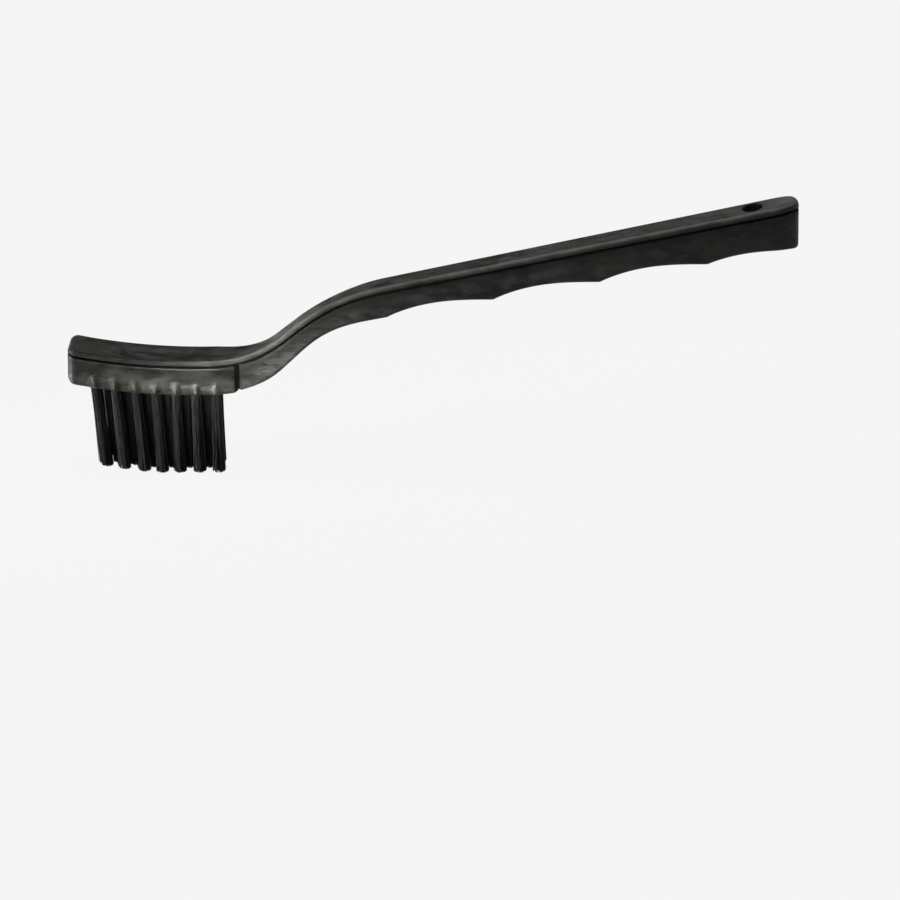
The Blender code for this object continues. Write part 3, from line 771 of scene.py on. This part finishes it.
def tuft_mouth(name):
    """Middle of the mouth of a tuft's hole, x from the nose, from the place of its anchor."""
    low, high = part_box(f"anchor_{name}")
    middle = (low + high) / 2
    x = middle.x + LENGTH / 2
    return x, middle.y, parting_height(x) - BLOCK_DEPTH


def tuft_holes():
    """All the blind holes, each with a small chamfer at its mouth."""
    mesh_tool = bmesh.new()
    out = OVERRUN / 2
    levels = ((-out, HOLE_RIM + out), (HOLE_RIM, 0), (HOLE_DEPTH, 0))
    for name in tuft_names():
        x, y, mouth = tuft_mouth(name)
        rings = [[row_point(x + dx, y + dy, mouth + level) for dx, dy in hole_outline(rim)]
                 for level, rim in levels]
        add_loft(mesh_tool, rings)
    return new_piece("tuft_holes", mesh_tool, None)


def trim_height(x):
    """Height at which the filaments are cut: a shallow curve, flat where the brush stands on it."""
    offset = x - HEAD_LOW_POINT
    return max(0.0, TRIM_RADIUS - math.sqrt(TRIM_RADIUS**2 - offset**2) - TIP_FLAT)


def add_filament(mesh_tool, path, strand_layer, value):
    """One folded filament along a path, cut square at both ends."""
    radius = FILAMENT_DIAMETER / 2
    rings = []
    side = None
    for i, place in enumerate(path):
        ahead = path[min(i + 1, len(path) - 1)] - path[max(i - 1, 0)]
        ahead.normalize()
        if side is None:
            side = ahead.orthogonal().normalized()
        side = (side - ahead * side.dot(ahead)).normalized()
        other = ahead.cross(side)
        ring = []
        for j in range(FILAMENT_SIDES):
            turn = 2 * math.pi * j / FILAMENT_SIDES
            reach = side * radius * math.cos(turn)
            corner = mesh_tool.verts.new(place + reach + other * radius * math.sin(turn))
            corner[strand_layer] = value
            ring.append(corner)
        rings.append(ring)
    for ring, following in zip(rings, rings[1:]):
        for j, corner in enumerate(ring):
            k = (j + 1) % FILAMENT_SIDES
            mesh_tool.faces.new((corner, following[j], following[k], ring[k])).smooth = True
    mesh_tool.faces.new(rings[0])
    mesh_tool.faces.new(rings[-1][::-1])


def seed_places(count, radius):
    """Places in a round bundle, as seeds sit in a sunflower."""
    golden_angle = math.pi * (3 - math.sqrt(5))
    places = []
    for number in range(count):
        turn = number * golden_angle
        reach = radius * math.sqrt((number + 0.5) / count)
        places.append((reach * math.cos(turn), reach * math.sin(turn)))
    return places


def fold_over(reach, lift):
    """Places across the anchor and heights of one filament's fold, from one side to the other."""
    inner = max(reach, ANCHOR_THICKNESS / 2 + FILAMENT_DIAMETER)
    crown_share, crown_level = FOLD_CROWN_SHARES
    rise = [(reach, FOLD_START_SHARE), (inner, FOLD_SHOULDER_SHARE), (inner * crown_share, crown_level)]
    fall = [(-across, level) for across, level in reversed(rise)]
    return [(across, lift * level) for across, level in [*rise, (0, 1), *fall]]


def make_tuft(name, looks):
    """A folded bundle: filaments packed in the hole, over the anchor, spreading to a domed trim."""
    chance = random.Random(name)
    x, y, mouth = tuft_mouth(name)
    along = (x - TUFTS_FROM_NOSE) / TUFT_ROW_LENGTH
    slope = math.tan(between(FIRST_TUFT_LEAN, LAST_TUFT_LEAN, along))
    lean = mouth * slope + chance.gauss(0, LEAN_SCATTER)
    sway = math.copysign(ROW_SWAY, y) if y else 0.0
    clumps = [(chance.uniform(-1, 1) * TIP_RADIUS * CLUMP_REACH_SHARE,
               chance.uniform(-1, 1) * TIP_RADIUS * CLUMP_REACH_SHARE) for _ in range(CLUMP_COUNT)]
    pairs = [seed for seed in seed_places(2 * FILAMENT_PAIRS, ROOT_RADIUS) if seed[1] > 0]
    mesh_tool = bmesh.new()
    strand_layer = mesh_tool.verts.layers.float.new("strand")

    def free_run(u, v):
        """Points from the mouth to the tip of one end whose root is at (u, v) from the tuft's axis."""
        dx, dy = turned(u, v, ANCHOR_SKEW)
        wide = TIP_RADIUS / ROOT_RADIUS
        tip_x, tip_y = dx * wide, dy * wide
        near = min(clumps, key=lambda place: math.hypot(place[0] - tip_x, place[1] - tip_y))
        pull = chance.uniform(0.0, CLUMP_PULL_SHARE)
        tip_x = between(tip_x, near[0], pull) + chance.gauss(0, TIP_SCATTER)
        tip_y = between(tip_y, near[1], pull) + chance.gauss(0, TIP_SCATTER)
        if chance.random() < STRAY_CHANCE:
            tip_x *= STRAY_SHARES[0]
            tip_y *= STRAY_SHARES[1]
        reach = min(math.hypot(tip_x, tip_y) / TIP_RADIUS, DOME_LIMIT_SHARE)
        tip_x += lean
        tip_y += sway
        trim = trim_height(x + tip_x) + TIP_DOME * reach**DOME_POWER
        end = trim + abs(chance.gauss(0, TRIM_SCATTER)) + FILAMENT_DIAMETER / 2
        wave, phase = chance.gauss(0, WAVE_HEIGHT), chance.uniform(0, 2 * math.pi)
        points = []
        for share in spread(0, 1, FREE_STEPS):
            shift = share**SPREAD_POWER
            bend = wave * math.sin(2 * math.pi * share * WAVE_TURNS + phase) * share
            px = between(dx, tip_x, shift) + bend
            py = between(dy, tip_y, shift) + bend * math.cos(phase)
            points.append(row_point(x + px, y + py, between(mouth, end, share)))
        return points

    for u, v in pairs:
        fold = []
        lift = ANCHOR_TOP + chance.uniform(FOLD_LIFT_LEAST, FOLD_LIFT_MOST)
        for across, level in fold_over(v, lift):
            dx, dy = turned(u, across, ANCHOR_SKEW)
            fold.append(row_point(x + dx, y + dy, mouth + level))
        path = free_run(u, v)[::-1] + fold + free_run(u, -v)
        add_filament(mesh_tool, path, strand_layer, chance.random())
    return new_piece(f"filaments_{name}", mesh_tool, looks, STRAND_SHARP_ANGLE)


def add_node(tree, kind, values=None, **settings):
    """A new shader node with its settings, and its inputs set to values or linked from sockets."""
    node = tree.nodes.new(kind)
    for setting, value in settings.items():
        setattr(node, setting, value)
    for name, value in (values or {}).items():
        if isinstance(value, bpy.types.NodeSocket):
            tree.links.new(value, node.inputs[name])
        else:
            node.inputs[name].default_value = value
    return node


def new_look(name, specular):
    """A material with a bare shader: (material, node tree, shader)."""
    looks = bpy.data.materials.new(name)
    looks.use_nodes = True
    shader = looks.node_tree.nodes["Principled BSDF"]
    shader.inputs["Specular IOR Level"].default_value = specular
    return looks, looks.node_tree, shader


def object_place(tree):
    """Coordinates in metres that move with the object."""
    return add_node(tree, "ShaderNodeTexCoord").outputs["Object"]


def stretched(tree, place, scale):
    """Coordinates scaled along each axis. A scale under 1 draws a pattern out along its axis."""
    return add_node(tree, "ShaderNodeMapping", {"Vector": place, "Scale": scale}).outputs["Vector"]


def painted(tree, name):
    """A value kept in the mesh, such as wear_and_painted_light."""
    return add_node(tree, "ShaderNodeAttribute", attribute_name=name).outputs["Fac"]


def noise(tree, place, scale, detail=3.0, rough=0.55):
    """A noise pattern, mostly between 0.3 and 0.7."""
    values = {"Vector": place, "Scale": scale, "Detail": detail, "Roughness": rough}
    return add_node(tree, "ShaderNodeTexNoise", values).outputs["Fac"]


def remap(tree, value, source, target):
    """A value carried from one range to another, and held at its ends."""
    values = {"Value": value, "From Min": source[0], "From Max": source[1],
              "To Min": target[0], "To Max": target[1]}
    return add_node(tree, "ShaderNodeMapRange", values).outputs["Result"]


def combined(tree, operation, first, second):
    """Two values combined by a math operation."""
    return add_node(tree, "ShaderNodeMath", {0: first, 1: second}, operation=operation).outputs[0]


def mixed(tree, share, first, second):
    """A colour between two colours or colour sockets."""
    node = tree.nodes.new("ShaderNodeMix")
    node.data_type = "RGBA"
    # The mix node keeps a set of inputs for each kind of value: 6 and 7, and output 2, are the colours
    sockets = {"Factor": node.inputs[0], "A": node.inputs[6], "B": node.inputs[7]}
    for name, value in (("Factor", share), ("A", first), ("B", second)):
        if isinstance(value, bpy.types.NodeSocket):
            tree.links.new(value, sockets[name])
        elif name == "Factor":
            sockets[name].default_value = value
        else:
            sockets[name].default_value = (*value, 1)
    return node.outputs[2]


def bumped(tree, height, strength, distance, under=None):
    """Normals from a height pattern, which may lie over the normals of another one."""
    values = {"Height": height, "Strength": strength, "Distance": distance}
    if under is not None:
        values["Normal"] = under
    return add_node(tree, "ShaderNodeBump", values).outputs["Normal"]


def mixed_shaders(tree, share, first, second):
    """A shader between two shaders."""
    values = {0: share, 1: first.outputs[0], 2: second.outputs[0]}
    return add_node(tree, "ShaderNodeMixShader", values)


def set_finish(tree, shader, colour, roughness, normal):
    """Links a finish's colour, roughness and normal to its shader."""
    tree.links.new(colour, shader.inputs["Base Color"])
    tree.links.new(roughness, shader.inputs["Roughness"])
    tree.links.new(normal, shader.inputs["Normal"])


def moulded_plastic(name, dark, light, warm, rubbed, roughness, specular):
    """Semi-matt black plastic: mottled, paler where hands have rubbed the edges, dark and dull where shade
    is painted.
    """
    looks, tree, shader = new_look(name, specular)
    place = object_place(tree)
    drawn = stretched(tree, place, MOTTLE_STRETCH)
    mottle = noise(tree, drawn, MOTTLE_SCALE, detail=5, rough=0.6)
    patches = noise(tree, drawn, PATCH_SCALE, detail=2)
    relief = noise(tree, drawn, MOTTLE_SCALE, detail=2)
    grain = noise(tree, place, PLASTIC_GRAIN_SCALE, detail=2)
    wear_and_painted_light = painted(tree, "wear_and_painted_light")
    rub_and_sheen = combined(tree, "MULTIPLY", remap(tree, wear_and_painted_light, (0, 1), (0, 1)), mottle)
    # Painted shade where the value is below 0: darker in the seam and below it, beside the joint, at the
    # nose and along the head's front edge
    painted_shade = remap(tree, wear_and_painted_light, (-1, 0), (PAINTED_SHADE_SHARE, 0))
    colour = mixed(tree, remap(tree, mottle, MOTTLE_RANGE, (0, 1)), dark, light)
    colour = mixed(tree, remap(tree, patches, PATCH_RANGE, (0, PATCH_SHARE)), colour, warm)
    # Paler where hands have rubbed the edges; on the top at the tail this pale is also a painted highlight
    colour = mixed(tree, rub_and_sheen, colour, rubbed)
    colour = mixed(tree, painted_shade, colour, PAINTED_SHADE_COLOUR)
    clean = remap(tree, mottle, NOISE_RANGE, (roughness - SMOOTHER, roughness + ROUGHER))
    dull = combined(tree, "MAXIMUM", clean, remap(tree, wear_and_painted_light, DULL_RANGE, (1, 0)))
    waves = bumped(tree, relief, 1.0, PLASTIC_WAVINESS)
    normal = bumped(tree, grain, PLASTIC_GRAIN_SHARE, PLASTIC_GRAIN, under=waves)
    set_finish(tree, shader, colour, dull, normal)
    return looks


def filament_look():
    """Black conductive filament, each strand a little different."""
    looks, tree, shader = new_look("filament_black", specular=0.03)
    streak = noise(tree, stretched(tree, object_place(tree), STREAK_STRETCH), STREAK_SCALE, detail=2)
    strand = painted(tree, "strand")
    colour = mixed(tree, strand, STRAND_DARK, STRAND_LIGHT)
    colour = mixed(tree, remap(tree, streak, STREAK_RANGE, (0, STREAK_SHARE)), colour, STREAK_COLOUR)
    roughness = remap(tree, strand, (0, 1), STRAND_ROUGHNESS_RANGE)
    set_finish(tree, shader, colour, roughness, bumped(tree, streak, FINE_RELIEF_SHARE, FINE_RELIEF))
    return looks


def anchor_look():
    """Flat wire of yellow metal, drawn lengthways and cut at its ends."""
    looks, tree, shader = new_look("anchor_wire", specular=0.5)
    shader.inputs["Metallic"].default_value = 1.0
    lines = noise(tree, stretched(tree, object_place(tree), WIRE_STRETCH), WIRE_LINE_SCALE, detail=3)
    colour = mixed(tree, lines, WIRE_DARK, WIRE_LIGHT)
    roughness = remap(tree, lines, NOISE_RANGE, WIRE_ROUGHNESS_RANGE)
    set_finish(tree, shader, colour, roughness, bumped(tree, lines, FINE_RELIEF_SHARE, FINE_RELIEF))
    return looks


def floor_look():
    """White floor: it keeps the object's soft shadow, and shows white to the camera and in reflections."""
    looks = bpy.data.materials.new("white_floor")
    looks.use_nodes = True
    tree = looks.node_tree
    tree.nodes.clear()
    rays = add_node(tree, "ShaderNodeLightPath").outputs
    seen = combined(tree, "MAXIMUM", rays["Is Camera Ray"], rays["Is Glossy Ray"])
    seen = combined(tree, "MAXIMUM", seen, rays["Is Transmission Ray"])
    matt = add_node(tree, "ShaderNodeBsdfDiffuse", {"Color": (FLOOR_GREY, FLOOR_GREY, FLOOR_GREY, 1)})
    glow = add_node(tree, "ShaderNodeEmission", {"Color": (1, 1, 1, 1), "Strength": 1.0})
    pale = mixed_shaders(tree, FLOOR_GLOW_SHARE, matt, glow)
    choice = mixed_shaders(tree, seen, matt, pale)
    output = tree.nodes.new("ShaderNodeOutputMaterial")
    tree.links.new(choice.outputs[0], output.inputs["Surface"])
    return looks


def add_camera():
    """A camera at the photograph's place, with its angle of view."""
    data = bpy.data.cameras.new("photo_camera")
    data.angle = 2 * math.atan(PICTURE_SIDE / 2 / FOCAL_PIXELS)
    camera = bpy.data.objects.new("photo_camera", data)
    camera.location = CAMERA_PLACE
    camera.rotation_euler = (CAMERA_TARGET - CAMERA_PLACE).to_track_quat("-Z", "Y").to_euler()
    bpy.context.scene.collection.objects.link(camera)
    bpy.context.scene.camera = camera


def add_softbox(name, place, target, size, power, spread_angle=180):
    """A lamp that gives light but isn't seen itself, so that it can stand near the brush."""
    data = bpy.data.lights.new(name, "AREA")
    data.shape = "RECTANGLE"
    data.size, data.size_y = size
    data.energy = power
    data.spread = math.radians(spread_angle)
    lamp = bpy.data.objects.new(name, data)
    lamp.location = place
    lamp.rotation_euler = (Vector(target) - Vector(place)).to_track_quat("-Z", "Y").to_euler()
    lamp.visible_camera = False
    bpy.context.scene.collection.objects.link(lamp)


def add_light():
    """One long light overhead, four small low ones in front and to the left, one behind, a grey world."""
    add_softbox("top_light", place=(0, -0.03, 0.60), target=(0, 0, 0.04), size=(0.7, 0.3), power=4.0)
    add_softbox("head_light", place=(-0.108, -0.125, 0.010), target=(-0.054, 0, 0.030),
                size=(0.03, 0.01), power=0.0043, spread_angle=26)
    add_softbox("side_light", place=(-0.32, -0.07, 0.015), target=(-0.072, 0, 0.008),
                size=(0.08, 0.04), power=0.130, spread_angle=20)
    add_softbox("neck_light", place=(-0.15, -0.11, 0.012), target=(-0.025, 0, 0.038),
                size=(0.04, 0.02), power=0.0011, spread_angle=26)
    add_softbox("root_light", place=(-0.060, -0.13, 0.012), target=(-0.047, 0, 0.030),
                size=(0.03, 0.02), power=0.0031, spread_angle=12)
    add_softbox("tail_light", place=(0.10, 0.46, 0.26), target=(0.08, 0, 0.065),
                size=(0.10, 0.10), power=0.006, spread_angle=60)
    world = bpy.data.worlds.new("studio")
    world.use_nodes = True
    background = world.node_tree.nodes["Background"]
    background.inputs["Color"].default_value = (WORLD_GREY, WORLD_GREY, WORLD_GREY, 1)
    bpy.context.scene.world = world


def add_floor():
    """A wide round floor, just below the tips of the filaments."""
    mesh_tool = bmesh.new()
    bmesh.ops.create_circle(mesh_tool, cap_ends=True, segments=FLOOR_SIDES, radius=FLOOR_RADIUS)
    floor = new_piece("studio_floor", mesh_tool, floor_look())
    floor.location.z = -FLOOR_DROP


def dress():
    """Replaces the mouldings and the tufts by their fine shapes, and gives each piece its finish."""
    handle_plastic = moulded_plastic(
        "handle_black", dark=(0.009, 0.009, 0.008), light=(0.040, 0.041, 0.037),
        warm=(0.027, 0.024, 0.021), rubbed=(0.085, 0.085, 0.080), roughness=0.44, specular=0.13)
    block_plastic = moulded_plastic(
        "block_black", dark=(0.004, 0.005, 0.003), light=(0.025, 0.026, 0.020),
        warm=(0.005, 0.007, 0.003), rubbed=(0.060, 0.061, 0.053), roughness=0.31, specular=0.16)
    filament = filament_look()
    metal = anchor_look()

    handle = loft_piece("moulded_handle", handle_rings(), handle_plastic)
    cut(handle, hang_hole())
    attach(handle, "root")
    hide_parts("handle")

    block = loft_piece("moulded_block", block_rings(), block_plastic)
    cut(block, tuft_holes())
    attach(block, "root")
    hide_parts("bristle_block")

    for name in tuft_names():
        tuft = make_tuft(name, filament)
        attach(tuft, "root")
        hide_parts(f"tuft_{name}")
        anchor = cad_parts[f"anchor_{name}"]
        for place in anchor.material_slots:
            place.material = metal


bpy.context.scene.view_settings.view_transform = "Standard"
add_camera()
add_light()
add_floor()
dress()
